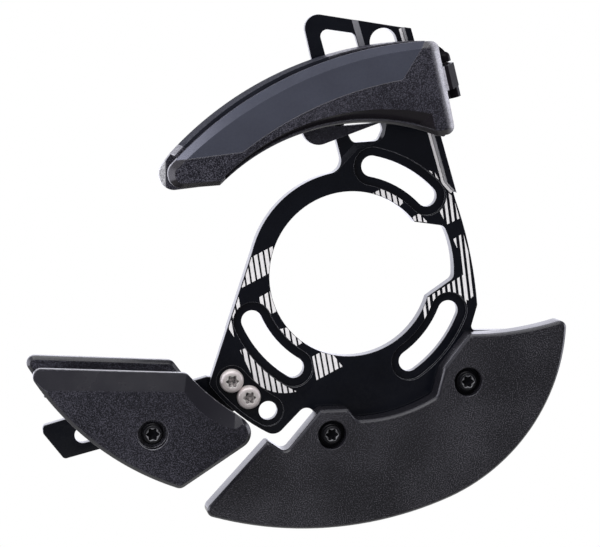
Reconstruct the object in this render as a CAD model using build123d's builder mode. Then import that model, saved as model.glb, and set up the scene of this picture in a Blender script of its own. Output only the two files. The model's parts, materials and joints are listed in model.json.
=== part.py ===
"""Bicycle chain guide: slotted backplate, hinged upper slider, lower slider on its arm, and bash guard.

Millimetres. X points to the front of the bicycle, Z up and -Y outboard, towards the chainring.
The origin is on the crank axis, in the face that sits on the frame's mounting tabs.
A depth is a distance outboard of that face. Outlines are (x, z) points seen from outboard.
"""
import os
from math import acos, asin, atan2, cos, degrees, radians, sin

from build123d import *

os.makedirs("parts", exist_ok=True)

# Depths, outboard of the mounting face
plate_t = 4.0
back_relief = 1.0
slider_standoff = 4.5
inner_wall = 3.0
channel_w = 10.0
outer_wall = 4.0
bash_t = 8.0
bracket_t = 3.0

slider_back = plate_t + slider_standoff
channel_in = slider_back + inner_wall
channel_out = channel_in + channel_w
slider_front = channel_out + outer_wall
bash_front = plate_t + bash_t
bracket_back = back_relief - bracket_t

# Frame mounting pattern: three bolts on a circle, neighbours one chord apart
iscg_r = 36.5
iscg_chord = 56.0
iscg_clock = -38.7
iscg_slot_w = 7.0
iscg_slot_sweep = 34.3
iscg_ledge_w = 2.9
iscg_recess_depth = 1.5
iscg_step = 2 * degrees(asin(iscg_chord / 2 / iscg_r))
iscg_angles = [iscg_clock + i * iscg_step for i in (-1, 0, 1)]

# Backplate outline
crank_hole_r = 27.65
ring_left_r = 34.4
ring_left_angles = (93.6, 130.0, 166.0)
lug_margin = 6.5
lug_left_angle = -143.6
flange_end_angle = -20.2
pad_gap = 2.7
right_foot = (41.4, -20.2)
right_low = (43.9, -11.6)
right_mid = (41.6, 4.0)
right_high = (35.8, 24.3)
arm_top_right = (18.9, 81.1)
arm_top_left = (-16.9, 86.5)
arm_left_high = (-12.2, 66.5)
arm_left_low = (-5.4, 46.5)
arm_root_fillet = 4.5
arm_corner_fillet = 4.5
lug_corner_fillet = 1.5

# Crank hole flare on the front side
flare_r = 35.5
flare_angles = (-3.5, 10.0, 26.0)
flare_upper = (21.0, 17.2)
flare_lower = (25.5, -8.8)
flare_fillet = 2.5

# Notch between the arm lug and the bash flange, and the flange scallop
notch_top = (-15.2, -47.6)
notch_direction = -134.8
notch_w = 6.0
notch_length = 30.0
notch_fillet = 4.0
scallop_depth = 7.6
scallop_angles = (-87.0, -55.0)
scallop_rounding = 0.4
scallop_overrun = 18.0

# Accessory holes, all on one circle
accessory_r = 53.1
accessory_hole_r = 3.15
arm_hole_angle = -139.4
arm_hole_step = 8.75
bash_hole_angles = (-98.7, -43.3)
lug_recess_gap = 1.2
lug_recess_depth = 0.8

# Upper arm: window, slider slot, thinned frame and stiffening rib
window_points = [(-11.1, 81.1), (1.2, 79.4), (10.7, 47.9), (9.0, 44.2), (0.6, 43.6), (-1.8, 48.0)]
window_fillet = 2.2
slider_slot_top = (10.6, 76.6)
slider_slot_low = (16.4, 56.6)
slider_slot_w = 9.2
thin_depth = 1.2
thin_slope = 55.0
thin_points = [(-2.3, 92.0), (10.2, 50.2), (9.4, 46.0), (6.0, 44.4), (1.2, 43.2), (-6.0, 35.6)]
thin_margin_x = -40.0
rib_w = 2.3
rib_gap = 0.6
rib_end_gap = 2.7
rib_run_out = 3.1

# Lower arm bracket
bracket_pad_r = 4.8
bracket_top_left = (-102.6, -47.7)
bracket_top_right = (-48.2, -33.3)
bracket_low_right = (-38.6, -45.2)
bracket_low_left = (-95.6, -59.0)
bracket_end = (-102.3, -50.2)
bracket_fillet = 1.4
bracket_slot_end = (-89.4, -51.2)
bracket_slot_gap = 0.2
bracket_slot_run_on = 4.0

# Lower slider
low_bolt = (-69.3, -46.7)
low_top_left = (-108.7, -24.3)
low_top_right = (-58.0, -27.7)
low_front_mid = (-50.2, -35.6)
low_shoulder = (-42.4, -41.5)
low_right = (-33.6, -48.1)
low_bottom = (-60.4, -65.1)
low_left_mid = (-86.4, -50.5)
low_fillet = 2.6
low_tip_fillet = 5.2
low_bevel = 1.2
low_band_depth = 2.2
low_band_left = -30.7
low_band_corner = (-59.2, -33.4)
low_band_mid = (-52.8, -41.0)
low_band_end = (-43.0, -46.2)
low_band_out = 8.0
low_band_rise = 9.8
low_inner_rise = 2.1
low_inner_reach = 1.0
low_inner_inset = 3.0
low_inner_taper = 2.4
low_floor_right = (-48.0, -49.0)
low_floor_mid = (-72.0, -39.8)
low_floor_left = (-103.0, -31.6)
low_floor_t = 2.6
low_pad_t = 2.4
low_pad_gap = 0.2
low_boss_r = 5.2
low_standoff_r = 6.0

# Upper slider, outer half: edge outline and front face outline, each arc as three points
up_top = [(-63.8, 37.0), (-28.2, 64.1), (23.4, 77.0)]
up_front = (29.8, 47.4)
up_low = [(24.0, 46.6), (-2.0, 51.1), (-47.1, 31.9)]
up_rear = (-62.6, 30.9)
up_fillet = 2.8
up_rear_fillet = 4.2
face_top = [(-61.6, 36.6), (-28.2, 61.0), (21.4, 74.9)]
face_front = (27.9, 49.0)
face_low = [(23.4, 48.3), (-2.0, 52.3), (-46.9, 33.4)]
face_rear = (-61.0, 32.6)
face_fillet = 2.0
face_rear_fillet = 2.5
face_bevel_depth = 1.8
scoop_top = [(-45.8, 34.9), (-14.0, 52.8), (21.4, 53.8)]
scoop_low = [(-45.4, 33.8), (-2.0, 52.0), (22.6, 48.6)]
scoop_depth = 2.0
scoop_floor_w = 0.4
scoop_end_share = 0.93
panel_left = (-70.0, 38.9)
panel_kink_left = (-40.0, 42.4)
panel_mid = (-21.8, 53.8)
panel_kink_right = (11.6, 64.7)
panel_top = (21.2, 80.2)
panel_margin = 12.0
panel_depth = 2.4

# Upper slider, inner half
roof_left = (-61.0, 41.2)
roof_mid = (-24.9, 67.0)
roof_right = (20.0, 77.0)
roof_t = 3.6
roof_gap = 0.6
roof_pad_t = 1.6
roof_pad_left = (-57.6, 43.4)
roof_pad_right = (-11.4, 71.6)
wall_right_top = (31.2, 74.6)
wall_right_low = (29.9, 45.4)
wall_low_mid = (-8.8, 50.2)
wall_low_left = (-47.0, 31.0)
wall_left_low = (-63.0, 29.3)
wall_left_tip = (-65.4, 35.5)
wall_fillet = 4.6
wall_corner_fillet = 0.8
wall_shoulder_fillet = 6.6
lobe_centre = (-12.7, 48.9)
lobe_r = 5.4
lobe_foot = (8.0, 50.6)
clamp_rise = 6.5
key_length = 8.0
key_depth = 1.5
key_gap = 0.1
boss_w = 12.4
tongue_w = 8.0
tongue_t = 1.8
tongue_reach = 4.0
tongue_gap = 0.5
tongue_setback = 9.0

# Hinge of the upper slider, beside its front edge
hinge_point = (31.2, 64.5)
hinge_lean = 14.5
hinge_inset = 0.5
hinge_r = 2.4
pin_r = 1.0
pin_running_gap = 0.05
pin_seat_gap = 0.01
outer_knuckle = (-2.2, 5.6)
lower_knuckle_length = 3.6
upper_knuckle_length = 3.4
upper_knuckle_r = 1.9
pin_cover = 1.3
leaf_corner_r = 1.8
knuckle_gap = 0.3
knuckle_clearance = 0.5
leaf_t = 2.2
leaf_lap = 8.5
leaf_bend = 1.2
leaf_foot = 3.0

# Fasteners
bolt_r = 2.5
bolt_gap = 0.15
dome_head_gap = 0.1
dome_head_h = 2.2
dome_edge = 1.1
flange_head_r = 3.6
flange_head_h = 2.2
head_edge = 0.6
socket_r = 2.3
socket_notch_r = 1.7
socket_depth = 1.5
sleeve_gap = 0.1
sleeve_flange_gap = 0.4
sleeve_flange_t = 1.8
nut_flange_r = 5.0
nut_flange_t = 1.0
nut_across = 8.0
nut_h = 4.0
washer_t = 1.0
washer_r = 4.5
bolt_recess_gap = 0.3
bolt_recess_depth = 2.4
bash_recess_depth = 3.6
clamp_recess_depth = 3.4
bolt_tip = 0.6
slot_nut_w = 13.0
slot_nut_length = 17.0
slot_nut_t = 2.6
slot_nut_stem = 1.0

# Bash guard outline
bash_top_start = (39.2, -20.3)
bash_top_mid = (56.0, -19.6)
bash_corner = (73.2, -16.0)
bash_outer_mid = (58.6, -57.0)
bash_outer_end = (33.0, -75.8)
bash_bottom_mid = (-6.0, -84.1)
bash_tip = (-51.8, -77.2)
bash_shoulder = (-29.6, -53.6)
bash_notch = (-23.6, -57.8)
bash_bump_left = (-11.8, -44.0)
bash_bump_right = (-2.4, -44.0)
bash_inner_start = (0.6, -47.9)
bash_inner_mid = (14.0, -46.5)
bash_inner_end = (27.8, -41.0)
bash_cove = (30.2, -31.6)
bash_fillet = 2.4
bash_shoulder_fillet = 1.2
bash_edge = 0.9


def outboard(depth):
    """Plane facing outboard, a given depth in front of the mounting face; its sketches are (x, z)."""
    return Plane.XZ.offset(depth)


def polar(radius, angle):
    """Point (x, z) at a radius from the crank axis, its angle counted from the front of the bicycle."""
    return (radius * cos(radians(angle)), radius * sin(radians(angle)))


def nearest(shape, *points):
    """The corners of a sketch that lie nearest to the given points."""
    return [shape.vertices().sort_by_distance(Vector(*point))[0] for point in points]


def along(start, end, distance):
    """Point at a distance from start on the way to end."""
    return tuple(Vector(*start) + (Vector(*end) - Vector(*start)).normalized() * distance)[:2]


def heading(start, end):
    """Direction from start to end, in degrees."""
    return degrees(atan2(end[1] - start[1], end[0] - start[0]))


def star_socket():
    """Six-pointed driver socket with blunt notches, as a private sketch."""
    with BuildSketch(mode=Mode.PRIVATE) as socket:
        for turn in (0, 60):
            RegularPolygon(socket_r, 3, rotation=turn)
        RegularPolygon(socket_notch_r, 6, rotation=30)
    return socket.sketch


def bolts(spots, seat, tip, head_r, head_h, head_edge):
    """Bolts with a socket head on a seat depth, their shanks reaching back to the tip depth."""
    with BuildPart() as made:
        with BuildSketch(outboard(seat)):
            with Locations(*spots):
                Circle(head_r)
        extrude(amount=head_h)
        chamfer(made.edges().group_by(Axis.Y)[0], head_edge)
        with BuildSketch(outboard(seat + head_h)):
            with Locations(*spots):
                add(star_socket())
        extrude(amount=-socket_depth, mode=Mode.SUBTRACT)
        with BuildSketch(outboard(seat)):
            with Locations(*spots):
                Circle(bolt_r)
        extrude(amount=tip - seat)
    return made


def flange_nuts(spots, seat):
    """Flanged hexagon nuts whose flange lies against a seat that faces inboard."""
    with BuildPart() as made:
        with BuildSketch(outboard(seat)):
            with Locations(*spots):
                Circle(nut_flange_r)
        extrude(amount=-nut_flange_t)
        with BuildSketch(outboard(seat)):
            with Locations(*spots):
                RegularPolygon(nut_across / 2, 6, major_radius=False)
        extrude(amount=-nut_h)
        with BuildSketch(outboard(seat)):
            with Locations(*spots):
                Circle(bolt_r + bolt_gap)
        extrude(amount=-nut_h, mode=Mode.SUBTRACT)
    return made


def washers(spots, seat):
    """Plain washers that lie outboard of a seat depth."""
    with BuildPart() as made:
        with BuildSketch(outboard(seat)):
            with Locations(*spots):
                Circle(washer_r)
                Circle(bolt_r + bolt_gap, mode=Mode.SUBTRACT)
        extrude(amount=washer_t)
    return made


def finish(made, name):
    """Name a finished piece and write it out."""
    made.part.label = name
    export_step(made.part, f"parts/{name}.step")


lug_r = accessory_r + lug_margin
scallop_r = lug_r - scallop_depth
pad_r = accessory_r - nut_flange_r - pad_gap
arm_hole_angles = [arm_hole_angle + i * arm_hole_step for i in range(3)]
arm_holes = [polar(accessory_r, angle) for angle in arm_hole_angles]
bash_holes = [polar(accessory_r, angle) for angle in bash_hole_angles]
arm_pitch = 2 * accessory_r * sin(radians(arm_hole_step / 2))
dome_head_r = (arm_pitch - dome_head_gap) / 2
sleeve_flange_r = (arm_pitch - sleeve_flange_gap) / 2
slot_heading = heading(slider_slot_top, slider_slot_low)
slot_mid = tuple((Vector(*slider_slot_top) + Vector(*slider_slot_low)) / 2)[:2]
slot_span = (Vector(*slider_slot_low) - Vector(*slider_slot_top)).length
clamp_spot = along(slider_slot_low, slider_slot_top, clamp_rise)

# Backplate
with BuildPart() as backplate:
    with BuildSketch(outboard(0)) as plate_outline:
        with BuildLine():
            Polyline(arm_top_left, arm_left_high, arm_left_low, polar(ring_left_r, ring_left_angles[0]))
            ThreePointArc(*[polar(ring_left_r, angle) for angle in ring_left_angles])
            Line(polar(ring_left_r, ring_left_angles[2]), polar(lug_r, lug_left_angle))
            ThreePointArc(polar(lug_r, lug_left_angle), polar(lug_r, -90), polar(lug_r, flange_end_angle))
            Line(polar(lug_r, flange_end_angle), right_foot)
            Line(right_foot, right_low)
            ThreePointArc(right_low, right_mid, right_high)
            Line(right_high, arm_top_right)
            Line(arm_top_right, arm_top_left)
        make_face()
        fillet(nearest(plate_outline, polar(ring_left_r, ring_left_angles[0])), arm_root_fillet)
        fillet(nearest(plate_outline, arm_top_left), arm_corner_fillet)
        fillet(nearest(plate_outline, polar(lug_r, lug_left_angle), right_foot, right_low), lug_corner_fillet)
        with BuildLine(mode=Mode.PRIVATE) as notch_line:
            PolarLine(notch_top, notch_length, notch_direction)
        with Locations(notch_line.line @ 0.5):
            SlotCenterToCenter(notch_length, notch_w, rotation=notch_direction, mode=Mode.SUBTRACT)
        with BuildLine(Plane.XY):
            Polyline(polar(scallop_r, scallop_angles[0]), polar(lug_r + scallop_overrun, scallop_angles[0]),
                     polar(lug_r + scallop_overrun, scallop_angles[1]), polar(scallop_r, scallop_angles[1]))
            ThreePointArc(polar(scallop_r, scallop_angles[1]), polar(scallop_r, sum(scallop_angles) / 2),
                          polar(scallop_r, scallop_angles[0]))
        make_face(mode=Mode.SUBTRACT)
        scallop_ends = [polar(r, angle) for r in (scallop_r, lug_r) for angle in scallop_angles]
        fillet(nearest(plate_outline, *scallop_ends), scallop_rounding * scallop_depth)
        notch_side = notch_line.line @ 0.5 + Vector(*polar(notch_w / 2, notch_direction - 90))
        fillet(nearest(plate_outline, notch_side), notch_fillet)
    extrude(amount=plate_t)
    # Stiffening rib along the front edge of the arm
    with BuildSketch(outboard(plate_t)) as rib_outline:
        rib_top = along(arm_top_right, arm_top_left, rib_w)
        rib_end = along(right_high, arm_top_right, rib_end_gap)
        rib_way = Vector(*rib_end) - Vector(*arm_top_right)
        rib_foot = tuple(Vector(*rib_top) + rib_way - rib_way.normalized() * rib_run_out)[:2]
        with BuildLine():
            Line(arm_top_right, rib_top)
            Line(rib_top, rib_foot)
            Line(rib_foot, rib_end)
            Line(rib_end, arm_top_right)
        make_face()
        fillet(nearest(rib_outline, rib_foot), rib_w)
    extrude(amount=slider_standoff - rib_gap)
    # Thinned frame round the window, with a sloping step
    with BuildSketch(outboard(plate_t - thin_depth)) as thin_outline:
        with BuildLine():
            Polyline(*thin_points, (thin_margin_x, thin_points[-1][1]), (thin_margin_x, thin_points[0][1]),
                     close=True)
        make_face()
        fillet(nearest(thin_outline, *thin_points[1:3]), rib_w)
    extrude(amount=thin_depth, taper=-thin_slope, mode=Mode.SUBTRACT)
    # Mounting face stands proud of the back
    with BuildSketch(outboard(0)):
        add(plate_outline.sketch_local)
        Circle(pad_r, mode=Mode.SUBTRACT)
    extrude(amount=back_relief, mode=Mode.SUBTRACT)
    # Crank hole and its flare
    with BuildSketch(outboard(0)) as crank_hole:
        with BuildLine():
            Line(flare_lower, polar(flare_r, flare_angles[0]))
            ThreePointArc(*[polar(flare_r, angle) for angle in flare_angles])
            Line(polar(flare_r, flare_angles[2]), flare_upper)
            Line(flare_upper, flare_lower)
        make_face()
        flare_corners = [polar(flare_r, angle) for angle in (flare_angles[0], flare_angles[2])]
        fillet(nearest(crank_hole, *flare_corners), flare_fillet)
        Circle(crank_hole_r)
    extrude(amount=plate_t, mode=Mode.SUBTRACT)
    # Mounting slots in their recesses
    for angle in iscg_angles:
        start = angle - iscg_slot_sweep / 2
        with BuildSketch(outboard(0)):
            with BuildLine(mode=Mode.PRIVATE) as slot_line:
                CenterArc((0, 0), iscg_r, start, iscg_slot_sweep)
            SlotArc(slot_line.edge(), iscg_slot_w)
        extrude(amount=plate_t, mode=Mode.SUBTRACT)
        with BuildSketch(outboard(plate_t)):
            SlotArc(slot_line.edge(), iscg_slot_w + 2 * iscg_ledge_w)
        extrude(amount=-iscg_recess_depth, mode=Mode.SUBTRACT)
    # Lug recess and accessory holes
    with BuildSketch(outboard(plate_t)):
        with BuildLine(mode=Mode.PRIVATE) as lug_line:
            CenterArc((0, 0), accessory_r, arm_hole_angle, 2 * arm_hole_step)
        SlotArc(lug_line.edge(), 2 * (dome_head_r + lug_recess_gap))
    extrude(amount=-lug_recess_depth, mode=Mode.SUBTRACT)
    with BuildSketch(outboard(0)):
        with Locations(*arm_holes):
            Circle(accessory_hole_r)
        with Locations(*bash_holes):
            Circle(bolt_r + bolt_gap)
    extrude(amount=plate_t, mode=Mode.SUBTRACT)
    # Window and slider slot in the upper arm
    with BuildSketch(outboard(0)) as arm_openings:
        with BuildLine():
            Polyline(*window_points, close=True)
        make_face()
        fillet(arm_openings.vertices(), window_fillet)
        with Locations(slot_mid):
            SlotCenterToCenter(slot_span, slider_slot_w, rotation=slot_heading)
    extrude(amount=plate_t, mode=Mode.SUBTRACT)
finish(backplate, "backplate")

# Lower arm bracket, behind the lug
with BuildPart() as lower_arm_bracket:
    with BuildSketch(outboard(back_relief)) as bracket_outline:
        with BuildLine():
            Polyline(bracket_top_left, bracket_top_right, arm_holes[0], arm_holes[1], bracket_low_right,
                     bracket_low_left, bracket_end, close=True)
        make_face()
        fillet(nearest(bracket_outline, bracket_top_left, bracket_end, bracket_low_left, bracket_top_right),
               bracket_fillet)
        with Locations((Vector(*arm_holes[0]) + Vector(*arm_holes[1])) / 2):
            SlotCenterToCenter(arm_pitch, 2 * bracket_pad_r,
                               rotation=heading(arm_holes[0], arm_holes[1]))
        with Locations(*arm_holes[:2]):
            Circle(accessory_hole_r, mode=Mode.SUBTRACT)
        slot_run = (Vector(*low_bolt) - Vector(*bracket_slot_end)).length + bracket_slot_run_on
        with Locations(along(bracket_slot_end, low_bolt, slot_run / 2)):
            SlotCenterToCenter(slot_run, 2 * (bolt_r + bracket_slot_gap),
                               rotation=heading(bracket_slot_end, low_bolt), mode=Mode.SUBTRACT)
    extrude(amount=-bracket_t)
finish(lower_arm_bracket, "lower_arm_bracket")

arm_bolts = bolts(arm_holes[:2], plate_t - lug_recess_depth, bracket_back - sleeve_flange_t, dome_head_r,
                  dome_head_h, dome_edge)
finish(arm_bolts, "arm_bolts")

# Sleeve nuts that pass through the bracket and the lug
with BuildPart() as arm_sleeve_nuts:
    with BuildSketch(outboard(bracket_back)):
        with Locations(*arm_holes[:2]):
            Circle(sleeve_flange_r)
    extrude(amount=-sleeve_flange_t)
    with BuildSketch(outboard(bracket_back)):
        with Locations(*arm_holes[:2]):
            Circle(accessory_hole_r - sleeve_gap)
    extrude(amount=plate_t - lug_recess_depth - sleeve_gap - bracket_back)
    with BuildSketch(outboard(bracket_back - sleeve_flange_t)):
        with Locations(*arm_holes[:2]):
            Circle(bolt_r + bolt_gap)
    extrude(amount=plate_t - bracket_back + sleeve_flange_t, mode=Mode.SUBTRACT)
finish(arm_sleeve_nuts, "arm_sleeve_nuts")


def low_outline(rise=0, reach=0, inset=0, taper=0):
    """Outline of a lower slider plate; the inner one's top edge rises higher and lies further back."""
    top_left = (low_top_left[0] - reach, low_top_left[1] + rise)
    top_right = (low_top_right[0] - inset, low_top_right[1] + rise)
    front_mid = (low_front_mid[0] - inset, low_front_mid[1])
    shoulder = (low_shoulder[0] - inset - taper, low_shoulder[1])
    right = (low_right[0] - inset - taper, low_right[1])
    with BuildSketch(mode=Mode.PRIVATE) as outline:
        with BuildLine():
            Line(top_left, top_right)
            ThreePointArc(top_right, front_mid, shoulder)
            Polyline(shoulder, right, low_bottom)
            ThreePointArc(low_bottom, low_left_mid, top_left)
        make_face()
        fillet(nearest(outline, top_left, top_right, low_bottom), low_fillet)
        fillet(nearest(outline, right), low_tip_fillet)
    return outline.sketch


def low_floor(rise, thickness):
    """Arched strip below the chain's path through the lower slider, raised above the floor's line."""
    line = [low_floor_right, low_floor_mid, low_floor_left]
    upper = [(x, z + rise) for x, z in line]
    lower = [(x, z + rise - thickness) for x, z in reversed(line)]
    with BuildSketch(mode=Mode.PRIVATE) as strip:
        with BuildLine():
            ThreePointArc(*upper)
            Line(upper[2], lower[0])
            ThreePointArc(*lower)
            Line(lower[2], upper[0])
        make_face()
    return strip.sketch


# Lower slider: inner plate with the floor, the bolt boss and the standoff to the bracket
with BuildPart() as lower_slider_inner:
    with BuildSketch(outboard(slider_back)):
        add(low_outline(low_inner_rise, low_inner_reach, low_inner_inset, low_inner_taper))
    extrude(amount=inner_wall)
    chamfer(lower_slider_inner.edges().group_by(Axis.Y)[0], low_bevel)
    with BuildSketch(outboard(channel_in)):
        add(low_floor(0, low_floor_t))
        with Locations(low_bolt):
            Circle(low_boss_r)
    extrude(amount=channel_w)
    with BuildSketch(outboard(back_relief)):
        with Locations(low_bolt):
            Circle(low_standoff_r)
    extrude(amount=slider_back - back_relief)
    with BuildSketch(outboard(back_relief)):
        with Locations(low_bolt):
            Circle(bolt_r + bolt_gap)
    extrude(amount=channel_out, mode=Mode.SUBTRACT)
finish(lower_slider_inner, "lower_slider_inner")

with BuildPart() as lower_slider_pad:
    with BuildSketch(outboard(channel_in + low_pad_gap)):
        add(low_floor(low_pad_t, low_pad_t))
    extrude(amount=channel_w - 2 * low_pad_gap)
finish(lower_slider_pad, "lower_slider_pad")


def low_band(left, corner, mid, end):
    """Region above a line along the top and an arc down the front of the lower slider, as a private sketch."""
    out_left, out_right = low_top_left[0] - low_band_out, low_right[0] + low_band_out
    out_top = low_top_left[1] + low_band_out
    with BuildSketch(mode=Mode.PRIVATE) as region:
        with BuildLine():
            Line((out_left, left), corner)
            ThreePointArc(corner, mid, end)
            Polyline(end, (out_right, end[1] + low_band_rise), (out_right, out_top), (out_left, out_top),
                     (out_left, left))
        make_face()
    return region.sketch


# Lower slider: outer plate with sloping bands along its top and front edges
with BuildPart() as lower_slider_outer:
    with BuildSketch(outboard(channel_out)):
        add(low_outline())
    extrude(amount=outer_wall)
    chamfer(lower_slider_outer.edges().group_by(Axis.Y)[0], low_bevel)
    with BuildSketch(outboard(slider_front)):
        add(low_band(low_band_left, low_band_corner, low_band_mid, low_band_end))
    with BuildSketch(outboard(slider_front - low_band_depth)):
        add(low_band(low_top_left[1], low_top_right, low_front_mid, low_shoulder))
    loft(ruled=True, mode=Mode.SUBTRACT)
    with BuildSketch(outboard(slider_front)):
        with Locations(low_bolt):
            Circle(washer_r + bolt_recess_gap)
    extrude(amount=-bolt_recess_depth, mode=Mode.SUBTRACT)
    with BuildSketch(outboard(channel_out)):
        with Locations(low_bolt):
            Circle(bolt_r + bolt_gap)
    extrude(amount=outer_wall, mode=Mode.SUBTRACT)
finish(lower_slider_outer, "lower_slider_outer")

low_seat = slider_front - bolt_recess_depth
lower_slider_bolt = bolts([low_bolt], low_seat, bracket_back - washer_t - nut_h - bolt_tip, flange_head_r,
                          flange_head_h, head_edge)
finish(lower_slider_bolt, "lower_slider_bolt")
lower_slider_washer = washers([low_bolt], bracket_back - washer_t)
finish(lower_slider_washer, "lower_slider_washer")
lower_slider_nut = flange_nuts([low_bolt], bracket_back - washer_t)
finish(lower_slider_nut, "lower_slider_nut")


def half_outline(top, front, low, rear, corner, rear_corner):
    """Curved outline of the upper slider's outer half, as a private sketch."""
    with BuildSketch(mode=Mode.PRIVATE) as outline:
        with BuildLine():
            ThreePointArc(*top)
            Polyline(top[2], front, low[0])
            ThreePointArc(*low)
            Polyline(low[2], rear, top[0])
        make_face()
        fillet(nearest(outline, top[2], front), corner)
        fillet(nearest(outline, top[0], rear), rear_corner)
    return outline.sketch


def scoop_outline(top, low):
    """Long narrow region between two arcs, as a private sketch."""
    with BuildSketch(mode=Mode.PRIVATE) as region:
        with BuildLine():
            ThreePointArc(*top)
            ThreePointArc(*low)
            Line(top[0], low[0])
            Line(top[2], low[2])
        make_face()
    return region.sketch


def panel_outline():
    """Region of the outer half that is covered by its soft panel, as a private sketch."""
    with BuildSketch(mode=Mode.PRIVATE) as region:
        with BuildLine():
            Line(panel_left, panel_kink_left)
            ThreePointArc(panel_kink_left, panel_mid, panel_kink_right)
            Line(panel_kink_right, panel_top)
            Polyline(panel_top, (panel_top[0], panel_top[1] + panel_margin),
                     (panel_left[0], panel_top[1] + panel_margin), panel_left)
        make_face()
    return region.sketch


# Hinge axis: local x towards the front, local y inboard, local z up along the pin
hinge_depth = channel_in - hinge_inset
lean = radians(hinge_lean)
hinge_plane = Plane(origin=(hinge_point[0], -hinge_depth, hinge_point[1]), x_dir=(cos(lean), 0, sin(lean)),
                    z_dir=(-sin(lean), 0, cos(lean)))
lower_knuckle = (outer_knuckle[0] - knuckle_gap - lower_knuckle_length, outer_knuckle[0] - knuckle_gap)
upper_knuckle = (outer_knuckle[1] + knuckle_gap, outer_knuckle[1] + knuckle_gap + upper_knuckle_length)
pin_length = upper_knuckle[1] - pin_cover - lower_knuckle[0]

# Centre of the roof's arc
roof_arc = ThreePointArc(roof_left, roof_mid, roof_right)
roof_centre = (roof_arc.arc_center.X, roof_arc.arc_center.Y)
roof_r = roof_arc.radius


def roof_sector(low_r, high_r, right, left):
    """Curved strip about the roof's centre between two radii, from a right to a left point's direction."""
    first = heading(roof_centre, right)
    sweep = heading(roof_centre, left) - first
    with BuildSketch(mode=Mode.PRIVATE) as sector:
        with BuildLine():
            inner = CenterArc(roof_centre, low_r, first, sweep)
            outer = CenterArc(roof_centre, high_r, first, sweep)
            Line(inner @ 0, outer @ 0)
            Line(inner @ 1, outer @ 1)
        make_face()
    return sector.sketch


# Upper slider: solid form of the outer half, before its soft panel is parted off
with BuildPart() as outer_form:
    edge_outline = half_outline(up_top, up_front, up_low, up_rear, up_fillet, up_rear_fillet)
    face_outline = half_outline(face_top, face_front, face_low, face_rear, face_fillet, face_rear_fillet)
    with BuildSketch(outboard(channel_out)):
        add(edge_outline)
    extrude(amount=outer_wall - face_bevel_depth)
    with BuildSketch(outboard(slider_front - face_bevel_depth)):
        add(edge_outline)
    with BuildSketch(outboard(slider_front)):
        add(face_outline)
    loft(ruled=True)
    low_arc = ThreePointArc(*scoop_low, mode=Mode.PRIVATE)
    floor_low = [tuple(low_arc @ share)[:2] for share in (0, scoop_end_share / 2, scoop_end_share)]
    floor_top = [(x, z + scoop_floor_w) for x, z in floor_low]
    with BuildSketch(outboard(slider_front)):
        add(scoop_outline(scoop_top, scoop_low))
    with BuildSketch(outboard(slider_front - scoop_depth)):
        add(scoop_outline(floor_top, floor_low))
    loft(ruled=True, mode=Mode.SUBTRACT)

# Hinge leaf with its knuckle, its outer corners rounded as seen from the front
leaf_reach = channel_out - hinge_depth
leaf_length = outer_knuckle[1] - outer_knuckle[0]
leaf_middle = hinge_plane.offset(outer_knuckle[0] + leaf_length / 2)
leaf_front = Plane(origin=leaf_middle.origin, x_dir=leaf_middle.x_dir, z_dir=leaf_middle.y_dir)
leaf_width = hinge_r + leaf_lap + 2 * leaf_corner_r
with BuildPart() as hinge_leaf:
    with BuildSketch(hinge_plane.offset(outer_knuckle[0])):
        with BuildLine():
            Polyline((hinge_r, 0), (hinge_r - leaf_bend, -leaf_reach / 2), (-leaf_foot, -leaf_reach - leaf_t),
                     (-leaf_lap, -leaf_reach - leaf_t), (-leaf_lap, -leaf_reach),
                     (-leaf_foot - leaf_bend, -leaf_reach), (hinge_r - leaf_bend - leaf_t, -leaf_reach / 2),
                     (hinge_r - leaf_t, 0), close=True)
        make_face()
        Circle(hinge_r)
    extrude(amount=leaf_length)
    with BuildSketch(leaf_front):
        with Locations((hinge_r - leaf_width / 2, 0)):
            RectangleRounded(leaf_width, leaf_length, leaf_corner_r)
    extrude(amount=2 * leaf_reach, both=True, mode=Mode.INTERSECT)

with BuildPart() as upper_slider_outer:
    add(outer_form.part)
    with BuildSketch(outboard(slider_front)):
        add(panel_outline())
    extrude(amount=-panel_depth, mode=Mode.SUBTRACT)
    # Tongue that snaps under the roof at the rear end
    tongue_mid = heading(roof_centre, roof_left) - degrees(tongue_setback / roof_r)
    tongue_ends = [tongue_mid + side * degrees(tongue_w / 2 / roof_r) for side in (-1, 1)]
    tongue_r = roof_r - roof_t - tongue_gap
    with BuildSketch(outboard(channel_out)):
        tongue_ways = [Vector(*roof_centre) + Vector(*polar(tongue_r, angle)) for angle in tongue_ends]
        add(roof_sector(tongue_r - tongue_t, tongue_r, *[(way.X, way.Y) for way in tongue_ways]))
    extrude(amount=-tongue_reach)
    add(hinge_leaf.part)
    with BuildSketch(hinge_plane.offset(outer_knuckle[0])):
        Circle(pin_r + pin_running_gap)
    extrude(amount=leaf_length, mode=Mode.SUBTRACT)
finish(upper_slider_outer, "upper_slider_outer")

with BuildPart() as upper_outer_panel:
    add(outer_form.part)
    with BuildSketch(outboard(slider_front)):
        add(panel_outline())
    extrude(amount=-panel_depth, mode=Mode.INTERSECT)
finish(upper_outer_panel, "upper_outer_panel")

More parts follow.
